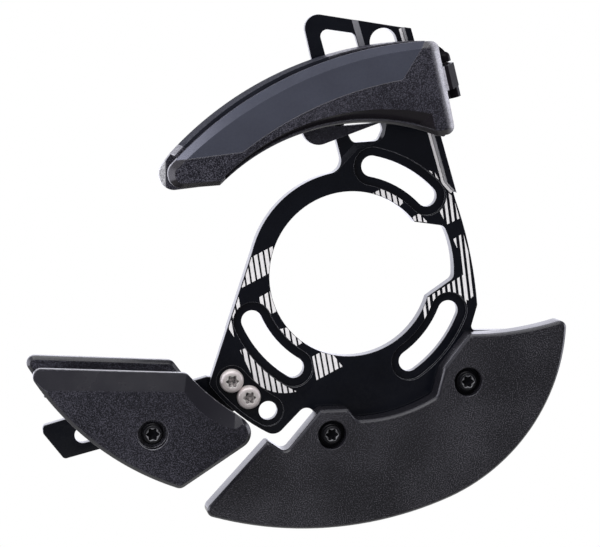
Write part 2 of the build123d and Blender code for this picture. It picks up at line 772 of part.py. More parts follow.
# Upper slider: inner half with the wall, the roof, the boss on the arm and two knuckles
roof_front = channel_out - roof_gap
with BuildPart() as upper_slider_inner:
    with BuildSketch(outboard(slider_back)) as wall_outline:
        with BuildLine():
            ThreePointArc(roof_left, roof_mid, roof_right)
            Polyline(roof_right, wall_right_top, wall_right_low)
            ThreePointArc(wall_right_low, wall_low_mid, wall_low_left)
            Polyline(wall_low_left, wall_left_low, wall_left_tip, roof_left)
        make_face()
        fillet(nearest(wall_outline, wall_left_low, wall_left_tip), wall_fillet)
        fillet(nearest(wall_outline, wall_right_low), wall_corner_fillet)
        fillet(nearest(wall_outline, wall_right_top), wall_shoulder_fillet)
        lobe_way = Vector(*lobe_foot) - Vector(*lobe_centre)
        touch = radians(heading(lobe_centre, lobe_foot)) - acos(lobe_r / lobe_way.length)
        lobe_touch = (lobe_centre[0] + lobe_r * cos(touch), lobe_centre[1] + lobe_r * sin(touch))
        with BuildLine():
            Polyline(lobe_centre, lobe_touch, lobe_foot, close=True)
        make_face()
        with Locations(lobe_centre):
            Circle(lobe_r)
    extrude(amount=inner_wall)
    with BuildSketch(outboard(channel_in)):
        add(roof_sector(roof_r - roof_t, roof_r, roof_right, roof_left))
    extrude(amount=roof_front - channel_in)
    with BuildSketch(outboard(slider_back)):
        add(roof_sector(roof_r - roof_pad_t, roof_r + roof_t, roof_pad_right, roof_pad_left))
    extrude(amount=roof_front - slider_back, mode=Mode.SUBTRACT)
    # Boss on the arm, with a key in the arm's slot
    with BuildSketch(outboard(plate_t)):
        with Locations(clamp_spot):
            SlotCenterToCenter(key_length, boss_w, rotation=slot_heading)
    extrude(amount=slider_back - plate_t)
    with BuildSketch(outboard(plate_t)):
        with Locations(clamp_spot):
            SlotCenterToCenter(key_length, slider_slot_w - 2 * key_gap, rotation=slot_heading)
    extrude(amount=-key_depth)
    with BuildSketch(outboard(0)):
        with Locations(clamp_spot):
            Circle(bolt_r + bolt_gap)
    extrude(amount=channel_in, mode=Mode.SUBTRACT)
    with BuildSketch(outboard(channel_in)):
        with Locations(clamp_spot):
            Circle(washer_r + bolt_recess_gap)
    extrude(amount=-clamp_recess_depth, mode=Mode.SUBTRACT)
    # Room for the outer knuckle, then the two knuckles beside it
    with BuildSketch(hinge_plane.offset(lower_knuckle[1])):
        Circle(hinge_r + knuckle_clearance)
    extrude(amount=upper_knuckle[0] - lower_knuckle[1], mode=Mode.SUBTRACT)
    with BuildSketch(hinge_plane.offset(lower_knuckle[0])):
        Circle(hinge_r)
    extrude(amount=lower_knuckle_length)
    with BuildSketch(hinge_plane.offset(upper_knuckle[0])):
        Circle(upper_knuckle_r)
    extrude(amount=upper_knuckle_length - upper_knuckle_r)
    with Locations(hinge_plane.offset(upper_knuckle[1] - upper_knuckle_r).origin):
        Sphere(upper_knuckle_r)
    with BuildSketch(hinge_plane.offset(lower_knuckle[0])):
        Circle(pin_r + pin_seat_gap)
    extrude(amount=pin_length, mode=Mode.SUBTRACT)
finish(upper_slider_inner, "upper_slider_inner")

with BuildPart() as upper_roof_pad:
    with BuildSketch(outboard(slider_back)):
        add(roof_sector(roof_r - roof_pad_t, roof_r, roof_pad_right, roof_pad_left))
    extrude(amount=roof_front - slider_back)
finish(upper_roof_pad, "upper_roof_pad")

with BuildPart() as hinge_pin:
    with BuildSketch(hinge_plane.offset(lower_knuckle[0])):
        Circle(pin_r)
    extrude(amount=pin_length)
finish(hinge_pin, "hinge_pin")

# Clamp bolt of the upper slider, with the nut that slides behind the arm's slot
clamp_seat = channel_in - clamp_recess_depth
upper_clamp_washer = washers([clamp_spot], clamp_seat)
finish(upper_clamp_washer, "upper_clamp_washer")
upper_clamp_bolt = bolts([clamp_spot], clamp_seat + washer_t, back_relief - slot_nut_t, flange_head_r,
                         flange_head_h, head_edge)
finish(upper_clamp_bolt, "upper_clamp_bolt")
with BuildPart() as upper_slot_nut:
    with BuildSketch(outboard(back_relief)):
        with Locations(clamp_spot):
            Rectangle(slot_nut_length, slot_nut_w, rotation=slot_heading)
    extrude(amount=-slot_nut_t)
    with BuildSketch(outboard(back_relief)):
        with Locations(clamp_spot):
            SlotCenterToCenter(slot_nut_length - slider_slot_w, slider_slot_w - 2 * key_gap,
                               rotation=slot_heading)
    extrude(amount=slot_nut_stem)
    with BuildSketch(outboard(back_relief - slot_nut_t)):
        with Locations(clamp_spot):
            Circle(bolt_r + bolt_gap)
    extrude(amount=slot_nut_t + slot_nut_stem, mode=Mode.SUBTRACT)
finish(upper_slot_nut, "upper_slot_nut")

# Bash guard on the flange, with its bolts, washers and nuts
with BuildPart() as bash_guard:
    with BuildSketch(outboard(plate_t)) as bash_outline:
        with BuildLine():
            ThreePointArc(bash_top_start, bash_top_mid, bash_corner)
            ThreePointArc(bash_corner, bash_outer_mid, bash_outer_end)
            ThreePointArc(bash_outer_end, bash_bottom_mid, bash_tip)
            Polyline(bash_tip, bash_shoulder, bash_notch, bash_bump_left, bash_bump_right, bash_inner_start)
            ThreePointArc(bash_inner_start, bash_inner_mid, bash_inner_end)
            Polyline(bash_inner_end, bash_cove, bash_top_start)
        make_face()
        fillet(nearest(bash_outline, bash_corner, bash_tip, bash_notch, bash_inner_start, bash_inner_end,
                       bash_cove), bash_fillet)
        fillet(nearest(bash_outline, bash_shoulder, bash_bump_left, bash_bump_right), bash_shoulder_fillet)
    extrude(amount=bash_t)
    chamfer(bash_guard.edges().group_by(Axis.Y)[0], bash_edge)
    chamfer(bash_guard.edges().group_by(Axis.Y)[-1], bash_edge)
    with BuildSketch(outboard(bash_front)):
        with Locations(*bash_holes):
            Circle(washer_r + bolt_recess_gap)
    extrude(amount=-bash_recess_depth, mode=Mode.SUBTRACT)
    with BuildSketch(outboard(plate_t)):
        with Locations(*bash_holes):
            Circle(bolt_r + bolt_gap)
    extrude(amount=bash_t, mode=Mode.SUBTRACT)
finish(bash_guard, "bash_guard")

bash_seat = bash_front - bash_recess_depth
bash_washers = washers(bash_holes, bash_seat)
finish(bash_washers, "bash_washers")
bash_bolts = bolts(bash_holes, bash_seat + washer_t, back_relief - nut_h - bolt_tip, flange_head_r,
                   flange_head_h, head_edge)
finish(bash_bolts, "bash_bolts")
bash_nuts = flange_nuts(bash_holes, back_relief)
finish(bash_nuts, "bash_nuts")
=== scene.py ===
# %% [markdown]
# A bicycle chain guide, dressed in Blender.
#
# The guide keeps the chain on the chainring. A black anodised plate bolts to the frame round the crank, an
# upper slider holds the chain from above, a lower slider holds it from below, and a bash guard takes the
# knocks. The shapes come from the CAD model, so this lesson is about finishes, light, and the small things
# that a plain solid lacks: softened edges, printed stripes, rounded sockets in the bolts, and threads.

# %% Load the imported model
import json
import math

import bpy
import numpy as np
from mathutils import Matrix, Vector


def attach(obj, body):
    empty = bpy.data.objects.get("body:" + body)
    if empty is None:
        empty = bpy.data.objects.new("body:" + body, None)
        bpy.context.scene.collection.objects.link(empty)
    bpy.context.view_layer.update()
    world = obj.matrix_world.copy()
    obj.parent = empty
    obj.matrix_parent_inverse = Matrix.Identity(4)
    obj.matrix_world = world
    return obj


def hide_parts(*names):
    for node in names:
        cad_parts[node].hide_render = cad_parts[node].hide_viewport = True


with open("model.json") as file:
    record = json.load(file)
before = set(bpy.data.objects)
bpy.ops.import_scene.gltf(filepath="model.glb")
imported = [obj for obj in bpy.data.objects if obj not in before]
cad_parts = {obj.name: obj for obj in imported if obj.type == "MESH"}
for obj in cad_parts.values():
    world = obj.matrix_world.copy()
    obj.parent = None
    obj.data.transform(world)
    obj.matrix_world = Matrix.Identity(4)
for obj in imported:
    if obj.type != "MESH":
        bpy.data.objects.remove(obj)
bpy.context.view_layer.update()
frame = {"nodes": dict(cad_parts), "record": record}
mm = 0.001

# %% [markdown]
# The camera stands a little to the left of the guide and a little above it, about 0.6 m away, with a long
# lens. Bearing and height were found by matching corners of the CAD model with the photograph, and the lens
# comes from the same fit: a focal length of 1800 pixels in a picture 600 pixels wide.

# %% Camera
def towards(bearing, height):
    """Unit vector from the guide to a viewer, turned by bearing and raised by height, both in degrees."""
    turn, lift = math.radians(bearing), math.radians(height)
    return Vector((math.sin(turn) * math.cos(lift), -math.cos(turn) * math.cos(lift), math.sin(lift)))

target = Vector((-17.34, -4.0, 0.70)) * mm
eye = towards(bearing=-11.64, height=7.32)
eye_distance = 595.02
photo_width, focal_pixels = 600, 1800

lens = bpy.data.cameras.new("camera")
lens.sensor_fit = "HORIZONTAL"
lens.sensor_width = 36.0
lens.lens = lens.sensor_width * focal_pixels / photo_width
lens.clip_start, lens.clip_end = 0.01, 20.0
camera = bpy.data.objects.new("camera", lens)
bpy.context.scene.collection.objects.link(camera)
camera.location = target + eye * eye_distance * mm
camera.rotation_euler = (-eye).to_track_quat("-Z", "Y").to_euler()
bpy.context.scene.camera = camera
bpy.context.scene.view_settings.view_transform = "Standard"
print("camera at", np.round(np.array(camera.location) / mm, 1).tolist(), "mm, lens", lens.lens, "mm")

# %% [markdown]
# Sky, floor and finishes are all trees of nodes. They could be wired by hand in the node editor, but then
# nobody could read how a value was reached. A few helpers write them down instead: one adds a node, one fills
# a socket, and the others are the nodes that are used most.

# %% Helpers for nodes
def add_node(tree, kind, **settings):
    """A new node of that kind, with its own settings."""
    node = tree.nodes.new("ShaderNode" + kind)
    for name, value in settings.items():
        setattr(node, name, value)
    return node

def feed(tree, socket, value):
    """Puts a value into a socket: another socket is linked, a number or a colour is set."""
    if isinstance(value, bpy.types.NodeSocket):
        tree.links.new(value, socket)
    else:
        socket.default_value = value

def calculate(tree, operation, first, second=0.0):
    """One Math node on two values, each a socket or a number."""
    node = add_node(tree, "Math", operation=operation)
    feed(tree, node.inputs[0], first)
    feed(tree, node.inputs[1], second)
    return node.outputs[0]

def stretch(tree, value, low, high, new_low=0.0, new_high=1.0):
    """Map Range with its ends clamped: low to high becomes new_low to new_high, eased at both ends."""
    node = add_node(tree, "MapRange", interpolation_type="SMOOTHSTEP")
    feed(tree, node.inputs["Value"], value)
    ends = {"From Min": low, "From Max": high, "To Min": new_low, "To Max": new_high}
    for name, number in ends.items():
        node.inputs[name].default_value = number
    return node.outputs["Result"]

def parts(tree, vector):
    """The X, Y and Z of a vector socket."""
    node = add_node(tree, "SeparateXYZ")
    tree.links.new(vector, node.inputs[0])
    return node.outputs

def choose(tree, switch, off, on):
    """Mix Shader: off where switch is 0, on where it is 1."""
    node = add_node(tree, "MixShader")
    for socket, value in zip(node.inputs, (switch, off, on)):
        feed(tree, socket, value)
    return node.outputs[0]

def light_path(tree):
    """Two masks of rays: those that the camera sees, straight or through glass, and those of reflections."""
    path = add_node(tree, "LightPath").outputs
    seen = calculate(tree, "MAXIMUM", path["Is Camera Ray"], path["Is Transmission Ray"])
    return seen, path["Is Glossy Ray"]

print("node helpers are ready")

# %% [markdown]
# Product photographs like this one are taken in a white tent with a dark room behind the camera. The camera
# sees plain white. Reflections see the tent bright behind the guide, dimmer at the right, and dark in front,
# which makes a black anodised face look black and its edges flash. A bright panel at either side shows only
# in what faces sideways, and a soft ceiling in what faces up. Matt surfaces gather a weaker, even light, so
# that a colour comes out about as it is written.

# %% World
matt_light, seen_light = 0.40, 1.0
room_glow, tent_glow, right_share = 0.08, 2.2, 0.15
panel_glow, ceiling_glow = 6.0, 0.6
cold_white = (0.89, 0.89, 1.0)
front_to_back, middle_to_right = (-0.70, 0.30), (0.30, 0.60)
panel_start, left_panel, right_panel = (-0.45, -0.15), (-0.60, -1.0), (0.85, 1.0)
level_to_ceiling = (0.15, 0.60)

world = bpy.data.worlds.new("white_tent")
bpy.context.scene.world = world
world.use_nodes = True
sky = world.node_tree
sky.nodes.clear()

def background(strength, colour=(1.0, 1.0, 1.0)):
    """A plain sky of that strength, a number or a socket."""
    node = add_node(sky, "Background")
    node.inputs["Color"].default_value = (*colour, 1.0)
    feed(sky, node.inputs["Strength"], strength)
    return node.outputs[0]

way = parts(sky, add_node(sky, "TexCoord").outputs["Generated"])
mirrored = stretch(sky, way["Y"], *front_to_back, room_glow, tent_glow)
mirrored = calculate(sky, "MULTIPLY", mirrored, stretch(sky, way["X"], *middle_to_right, 1.0, right_share))
beside = stretch(sky, way["Y"], *panel_start)
for side in (left_panel, right_panel):
    panel = calculate(sky, "MULTIPLY", beside, stretch(sky, way["X"], *side, 0.0, panel_glow))
    mirrored = calculate(sky, "MAXIMUM", mirrored, panel)
ceiling = stretch(sky, way["Z"], *level_to_ceiling, room_glow, ceiling_glow)
mirrored = calculate(sky, "MAXIMUM", mirrored, ceiling)

seen, glossy = light_path(sky)
tent = choose(sky, glossy, background(matt_light), background(mirrored, cold_white))
tent = choose(sky, seen, tent, background(seen_light))
sky.links.new(tent, add_node(sky, "OutputWorld").inputs[0])
print("world made with", len(sky.nodes), "nodes")

# %% [markdown]
# Three softboxes do the drawing. The key is high in front and lights the faces, and the overhead strip lights
# what faces up. The fill stands low at the left. It is hidden from reflections, so it lifts the matt surfaces
# without a second highlight on the glossy ones.

# %% Lamps
def softbox(name, spot, width, height, glow, mirrored=True):
    """A rectangular lamp at a spot, in metres, facing the guide, its face glow times white."""
    lamp = bpy.data.lights.new(name, "AREA")
    lamp.shape, lamp.size, lamp.size_y = "RECTANGLE", width, height
    lamp.energy = glow * math.pi * width * height
    obj = bpy.data.objects.new(name, lamp)
    bpy.context.scene.collection.objects.link(obj)
    obj.location = spot
    obj.visible_glossy = mirrored
    obj.rotation_euler = (target - Vector(spot)).to_track_quat("-Z", "Y").to_euler()
    print(name, "takes", round(lamp.energy, 1), "W")

softbox("key", spot=(-0.12, -0.42, 0.58), width=0.75, height=0.45, glow=2.5)
softbox("overhead", spot=(0.0, -0.10, 0.90), width=0.90, height=0.25, glow=3.0)
softbox("fill", spot=(-0.66, -0.56, -0.06), width=0.55, height=0.55, glow=4.8, mirrored=False)

# %% [markdown]
# The floor is a disc below the guide, which hangs from its mount.

# %% Floor
floor_level = -125.0 * mm
floor_r, floor_corners = 0.30, 96

around = np.linspace(0, 2 * np.pi, floor_corners, endpoint=False)
level = np.full(floor_corners, floor_level)
rim = np.stack([floor_r * np.cos(around), floor_r * np.sin(around), level], axis=1)
floor_mesh = bpy.data.meshes.new("floor")
floor_mesh.from_pydata(rim.tolist(), [], [list(range(floor_corners))])
floor = bpy.data.objects.new("floor", floor_mesh)
bpy.context.scene.collection.objects.link(floor)
print("floor at", floor_level / mm, "mm")

# %% [markdown]
# The camera sees matt white paper that takes the shadow and fades into the white of the tent further out, so
# there is no horizon. Plain white paper would do, but it would throw too much light up at the black parts. So
# the paper is grey to the light that bounces off it, and reflections see it white only behind the guide.

# %% Paper of the floor
paper_seen, paper_bounced = 0.95, 0.22
fade_start, fade_end = 0.115, 0.165
white_start, white_end = -0.07, 0.0

paper = bpy.data.materials.new("paper_floor")
paper.use_nodes = True
tree = paper.node_tree
tree.nodes.clear()

def matt(grey):
    """A plain matt shader in a grey."""
    node = add_node(tree, "BsdfDiffuse")
    node.inputs["Color"].default_value = (grey, grey, grey, 1.0)
    return node.outputs[0]

spot = add_node(tree, "TexCoord").outputs["Object"]
distance = add_node(tree, "VectorMath", operation="LENGTH")
tree.links.new(spot, distance.inputs[0])
seen, glossy = light_path(tree)
faded = calculate(tree, "MULTIPLY", seen, stretch(tree, distance.outputs["Value"], fade_start, fade_end))
behind = calculate(tree, "MULTIPLY", glossy, stretch(tree, parts(tree, spot)["Y"], white_start, white_end))
sheet = choose(tree, seen, matt(paper_bounced), matt(paper_seen))
white = add_node(tree, "Emission").outputs[0]
sheet = choose(tree, calculate(tree, "MAXIMUM", faded, behind), sheet, white)
tree.links.new(sheet, add_node(tree, "OutputMaterial").inputs[0])
floor_mesh.materials.append(paper)
print("made", paper.name)

# %% [markdown]
# Every finish is a Principled shader with a small tree of procedural nodes. Pictures wrapped on the surface
# would also do, but they need a UV map and lose their detail close up. Noise on Object coordinates gives
# grain and flecks at any size. Other helpers look at the surface itself, where a point lies and which way it
# faces, because a mould leaves its texture on the faces and polishes the flanks.

# %% Helpers for finishes
def new_finish(name, colour, roughness, metallic=0.0, specular=0.5):
    """A material with one Principled shader; constants go straight onto its own sockets."""
    material = bpy.data.materials.new(name)
    material.use_nodes = True
    shader = material.node_tree.nodes["Principled BSDF"]
    shader.inputs["Base Color"].default_value = (*colour, 1.0)
    shader.inputs["Roughness"].default_value = roughness
    shader.inputs["Metallic"].default_value = metallic
    shader.inputs["Specular IOR Level"].default_value = specular
    return material, material.node_tree, shader

def place(tree):
    """Where a point lies, as X, Y and Z in metres, in the coordinates of its piece."""
    return parts(tree, add_node(tree, "TexCoord").outputs["Object"])

def facing(tree):
    """Which way the surface faces, as X, Y and Z, in the coordinates of its piece."""
    return parts(tree, add_node(tree, "TexCoord").outputs["Normal"])

def grain(tree, scale, detail=2.0):
    """Noise on Object coordinates, in metres: a scale of 1000 gives blotches of about a millimetre."""
    noise = add_node(tree, "TexNoise")
    noise.inputs["Scale"].default_value = scale
    noise.inputs["Detail"].default_value = detail
    tree.links.new(add_node(tree, "TexCoord").outputs["Object"], noise.inputs["Vector"])
    return noise.outputs["Fac"]

def between(tree, value, low, high):
    """Stretches noise, which stays near a half, to the range from low to high."""
    return stretch(tree, value, 0.3, 0.7, low, high)

print("surface helpers are ready")

# %% [markdown]
# The second set mixes colours and numbers by such masks, and bends the shading. Edges are where light gathers
# and where a finish wears first. The Bevel node rounds every edge in the shading alone, without a new face,
# and the mask of the edges is how far it had to turn the surface. A bump adds pits that are far too small to
# model.

# %% Helpers for colours and edges
def shades(tree, value, stops):
    """A colour ramp: value 0 to 1 runs through the (position, colour) stops."""
    ramp = add_node(tree, "ValToRGB")
    for extra in range(len(stops) - 2):
        ramp.color_ramp.elements.new(0.5)
    for element, (position, colour) in zip(ramp.color_ramp.elements, stops):
        element.position, element.color = position, (*colour, 1.0)
    tree.links.new(value, ramp.inputs["Fac"])
    return ramp.outputs["Color"]

def mix_colour(tree, share, first, second):
    """Colour from first, where share is 0, to second, where it is 1; each is a socket or a colour."""
    node = add_node(tree, "Mix", data_type="RGBA")
    feed(tree, node.inputs["Factor"], share)
    for socket, value in zip(node.inputs[6:8], (first, second)):
        feed(tree, socket, value if isinstance(value, bpy.types.NodeSocket) else (*value, 1.0))
    return node.outputs[2]

def mix_number(tree, share, first, second):
    """Number between first and second: first plus share times their difference."""
    span = calculate(tree, "SUBTRACT", second, first)
    return calculate(tree, "ADD", first, calculate(tree, "MULTIPLY", share, span))

def rounded_edges(tree, radius):
    """Surface direction with every edge rounded by radius, and a mask that is 1 where that turns it most."""
    soft = add_node(tree, "Bevel", samples=6)
    soft.inputs["Radius"].default_value = radius
    alike = add_node(tree, "VectorMath", operation="DOT_PRODUCT")
    tree.links.new(soft.outputs["Normal"], alike.inputs[0])
    tree.links.new(add_node(tree, "NewGeometry").outputs["Normal"], alike.inputs[1])
    turned_by = calculate(tree, "SUBTRACT", 1.0, alike.outputs["Value"])
    return soft.outputs["Normal"], stretch(tree, turned_by, 0.02, 0.22)

def bump(tree, shader, height, depth, strength, direction):
    """Tilts the shading by a height of at most depth, in metres, on top of a bent direction."""
    node = add_node(tree, "Bump")
    node.inputs["Strength"].default_value = strength
    node.inputs["Distance"].default_value = depth
    tree.links.new(height, node.inputs["Height"])
    tree.links.new(direction, node.inputs["Normal"])
    tree.links.new(node.outputs["Normal"], shader.inputs["Normal"])

print("colour and edge helpers are ready")

# %% [markdown]
# Black anodise is a thin hard skin on aluminium. The dye makes it nearly black face on, with a cold tint, and
# the blasting before the dye bath leaves a fine even grain. Seen edge on, any smooth skin mirrors what is
# behind it, so the cut walls of the plate come out pale. Along the edges a paler grey is painted in as a
# highlight, where a small chamfer would flash. The rib's left flank and the slopes that lean to the left
# catch more light, so they get the same painted highlight.

# %% Black anodise
plate_front = -4.0
dye = [(0.3, (0.0022, 0.0027, 0.0050)), (0.7, (0.0045, 0.0054, 0.0092))]
highlight_grey = (0.22, 0.22, 0.245)
skin_roughness, edge_highlight_share = (0.14, 0.23), (0.30, 0.90)
flank_left, slope_left, slope_forwards = (-0.40, -0.60), (-0.40, -0.50), (-0.60, -0.70)

black_anodise, tree, shader = new_finish("anodised_black", (0.004, 0.005, 0.008), 0.20, specular=0.6)
direction, edge = rounded_edges(tree, 0.30 * mm)
# Painted highlight: the edges are mixed towards a pale grey, and so are the rib's left flank and the slopes
# that lean left, where more light falls.
highlight = calculate(tree, "MULTIPLY", edge, between(tree, grain(tree, 900.0, 4.0), *edge_highlight_share))

way = facing(tree)
raised = stretch(tree, place(tree)["Y"], (plate_front - 0.1) * mm, (plate_front - 0.4) * mm)
lit_rib_flank = calculate(tree, "MULTIPLY", raised, stretch(tree, way["X"], *flank_left, 0.0, 0.8))
forwards = stretch(tree, way["Y"], *slope_forwards)
lit_slope = calculate(tree, "MULTIPLY", forwards, stretch(tree, way["X"], *slope_left, 0.0, 0.7))
for paler in (lit_rib_flank, lit_slope):
    highlight = calculate(tree, "MAXIMUM", highlight, paler)

dyed = shades(tree, grain(tree, 60.0, 3.0), dye)
tree.links.new(mix_colour(tree, highlight, dyed, highlight_grey), shader.inputs["Base Color"])
tree.links.new(between(tree, grain(tree, 700.0, 4.0), *skin_roughness), shader.inputs["Roughness"])
bump(tree, shader, grain(tree, 5000.0, 2.0), 0.004 * mm, 0.15, direction)
print("made", black_anodise.name)

# %% [markdown]
# The sliders and the bash guard are moulded in glass-filled nylon. The tool's spark-eroded face leaves the
# front finely pitted, and short glass fibres show as paler flecks, about a third of a millimetre long and
# denser in places. The flanks, bevels and sloping bands were polished in the tool, so there the same black
# plastic is smooth and glossy. The mask between the two is simply how squarely the surface faces forwards or
# back, and on the upper slider upwards too. It is read in the coordinates of the piece, so that the texture
# stays with the door when that opens.

# %% Moulded nylon
hinge_slant, hinge_line, hinge_blend = 0.24, 42.1 * mm, 0.2 * mm
full_gloss, barrel_gloss, barrel_roughness = 0.42, 0.15, 0.18
polish_roughness, pit_roughness = (0.17, 0.28), (0.28, 0.42)
square_on, roof_on, top_on, crest_on = (0.940, 0.980), (0.60, 0.75), (0.40, 0.60), (0.15, 0.45)
edge_sheen_share, highlight_share = (0.30, 0.80), (0.45, 1.0)
edge_sheen_grey = (0.120, 0.118, 0.150)

def towards_front(tree):
    """How far towards the front a point lies, in metres, counted square to the hinge: x + slant * z."""
    spot = place(tree)
    return calculate(tree, "ADD", spot["X"], calculate(tree, "MULTIPLY", spot["Z"], hinge_slant))

def behind_hinge(tree):
    """Mask that is 1 on the body of the upper slider and 0 on the barrel of its hinge."""
    return stretch(tree, towards_front(tree), hinge_line, hinge_line + hinge_blend, 1.0, 0.0)

def moulded(name, flecks, polished, rim, fleck_scale=3500.0, gloss_on_top=full_gloss, edge_sheen=edge_sheen_grey,
            crest=edge_sheen_grey, upper=False, highlight_mask=None, painted_highlight=edge_sheen_grey):
    """Nylon with flecks (dark, middle, pale) on its textured faces, polished and smooth elsewhere.

    Edges are rounded by rim, in mm, and get a painted highlight in a paler colour, or in the crest colour
    where they face up. On the upper slider the roof is textured too, and the barrel of the hinge is polished
    and dark.
    A mask that is passed in marks a place painted with a highlight colour, broken up by flecks.
    """
    dark, middle, pale = flecks
    material, tree, shader = new_finish(name, middle, 0.5, specular=full_gloss)
    direction, edge = rounded_edges(tree, rim * mm)
    own = add_node(tree, "VectorTransform", vector_type="NORMAL", convert_from="WORLD", convert_to="OBJECT")
    tree.links.new(direction, own.inputs[0])
    way = parts(tree, own.outputs[0])
    textured = stretch(tree, calculate(tree, "ABSOLUTE", way["Y"]), *square_on)
    gloss = stretch(tree, way["Z"], *top_on, full_gloss, gloss_on_top)
    smooth = between(tree, grain(tree, 120.0, 3.0), *polish_roughness)
    if upper:
        textured = calculate(tree, "MAXIMUM", textured, stretch(tree, way["Z"], *roof_on))
        body = behind_hinge(tree)
        textured = calculate(tree, "MULTIPLY", textured, body)
        edge = calculate(tree, "MULTIPLY", edge, body)
        smooth = mix_number(tree, body, barrel_roughness, smooth)
        gloss = calculate(tree, "MULTIPLY", gloss, mix_number(tree, body, barrel_gloss, 1.0))

    fibres = grain(tree, fleck_scale, 3.0)
    clouds = between(tree, grain(tree, 35.0, 2.0), -0.03, 0.03)
    stops = [(0.40, dark), (0.52, middle), (0.64, pale)]
    face = shades(tree, calculate(tree, "ADD", fibres, clouds), stops)
    colour = mix_colour(tree, textured, polished, face)
    # Painted highlight: the rounded edges are mixed towards a paler colour, another one where they face up.
    edge_sheen_mask = calculate(tree, "MULTIPLY", edge, between(tree, grain(tree, 600.0, 3.0), *edge_sheen_share))
    highlight = mix_colour(tree, stretch(tree, way["Z"], *crest_on), edge_sheen, crest)
    colour = mix_colour(tree, edge_sheen_mask, colour, highlight)
    # Painted highlight: the place that the mask passed in marks is painted pale, broken up by flecks.
    if highlight_mask:
        broken_highlight = between(tree, grain(tree, 3000.0, 2.0), *highlight_share)
        colour = mix_colour(tree, calculate(tree, "MULTIPLY", highlight_mask(tree), broken_highlight), colour, painted_highlight)
    tree.links.new(colour, shader.inputs["Base Color"])

    pitted = between(tree, grain(tree, 900.0, 3.0), *pit_roughness)
    tree.links.new(mix_number(tree, textured, smooth, pitted), shader.inputs["Roughness"])
    tree.links.new(gloss, shader.inputs["Specular IOR Level"])
    pits = calculate(tree, "MULTIPLY", fibres, mix_number(tree, textured, 0.25, 1.0))
    bump(tree, shader, pits, 0.08 * mm, 0.7, direction)
    return material

print("the hinge line is", round(hinge_line / mm, 1), "mm in front of the crank")

# %% [markdown]
# The chain runs between the two plates of the lower slider. Their top edges, which face straight up, get a
# painted highlight, and so do the edges of the bash guard that face up. The highlight is painted by place: a
# mask of what faces straight up, above a height that only the top edge reaches. A map painted by hand would
# be freer, but it would have to be painted again whenever the shape changed.

# %% Lower slider and bash guard
slider_flecks = (0.004, 0.004, 0.006), (0.013, 0.0126, 0.018), (0.082, 0.080, 0.104)
guard_flecks = (0.006, 0.006, 0.008), (0.020, 0.0195, 0.024), (0.110, 0.107, 0.126)
slider_edge_sheen = {"edge_sheen": (0.200, 0.198, 0.235), "crest": (0.60, 0.60, 0.66)}
top_edge_height, straight_up = (-36.0 * mm, -34.0 * mm), (0.72, 0.90)

def top_edge_highlight(tree):
    """Mask of the lower slider's top edge, which faces straight up and gets a painted highlight."""
    upwards = stretch(tree, facing(tree)["Z"], *straight_up)
    return calculate(tree, "MULTIPLY", upwards, stretch(tree, place(tree)["Z"], *top_edge_height))

slider_nylon = moulded("slider_nylon", slider_flecks, polished=(0.012, 0.0115, 0.016), rim=0.6,
                       gloss_on_top=0.10, **slider_edge_sheen, highlight_mask=top_edge_highlight, painted_highlight=(0.42, 0.42, 0.46))
wall_nylon = moulded("wall_nylon", slider_flecks, polished=(0.010, 0.0095, 0.013), rim=0.4,
                     **slider_edge_sheen, highlight_mask=top_edge_highlight, painted_highlight=(0.24, 0.24, 0.27))
guard_nylon = moulded("guard_nylon", guard_flecks, polished=(0.016, 0.0155, 0.020), rim=0.5,
                      fleck_scale=3000.0, crest=(0.50, 0.50, 0.56))
print("made", slider_nylon.name, wall_nylon.name, guard_nylon.name)

# %% [markdown]
# The upper slider has two halves in the same nylon: the hull on the arm, and the door in front of the chain.
# The door's bevel beside the hinge and the hull's rear end get a painted highlight, where they face the side
# panels. Each is a mask in the coordinates of its own piece: a band behind the hinge line, on the outboard
# side only, and all that lies behind a line near the rear.

# %% Upper slider
upper_flecks = (0.006, 0.0057, 0.009), (0.017, 0.0164, 0.024), (0.092, 0.090, 0.116)
upper_look = {"polished": (0.010, 0.0085, 0.0110), "fleck_scale": 3900.0, "upper": True}
bevel_band, outboard_on = (38.0 * mm, 41.2 * mm), (0.05, -0.15)
rear_band = (-62.4 * mm, -63.0 * mm)

def front_bevel_highlight(tree):
    """Mask of the door's bevel beside the hinge, on its outboard side, where a highlight is painted."""
    band = stretch(tree, towards_front(tree), *bevel_band)
    band = calculate(tree, "MULTIPLY", band, behind_hinge(tree))
    return calculate(tree, "MULTIPLY", band, stretch(tree, facing(tree)["Y"], *outboard_on))

def rear_end_highlight(tree):
    """Mask of the hull's rear end, where a highlight is painted."""
    return stretch(tree, place(tree)["X"], *rear_band)

door_nylon = moulded("door_nylon", upper_flecks, **upper_look, rim=0.5, highlight_mask=front_bevel_highlight,
                     painted_highlight=(0.62, 0.61, 0.69))
hull_nylon = moulded("hull_nylon", upper_flecks, **upper_look, rim=0.6, gloss_on_top=0.05, highlight_mask=rear_end_highlight,
                     painted_highlight=(0.62, 0.62, 0.66))
print("made", door_nylon.name, hull_nylon.name)

# %% [markdown]
# The soft panel on the door is an over-moulded rubber in slate grey: matt, even, with a faint bloom and
# almost no grain. Its rim is painted a shade paler as a highlight, and so is the bevel at its rear end, which
# faces left to the light. The strip on the roof is the same rubber, darker and duller. One function makes
# both.

# %% Soft panel
rubber_roughness, rim_share = (0.66, 0.82), (0.5, 0.9)
bevel_left, bevel_forwards = (-0.28, -0.55), (-0.60, -0.68)

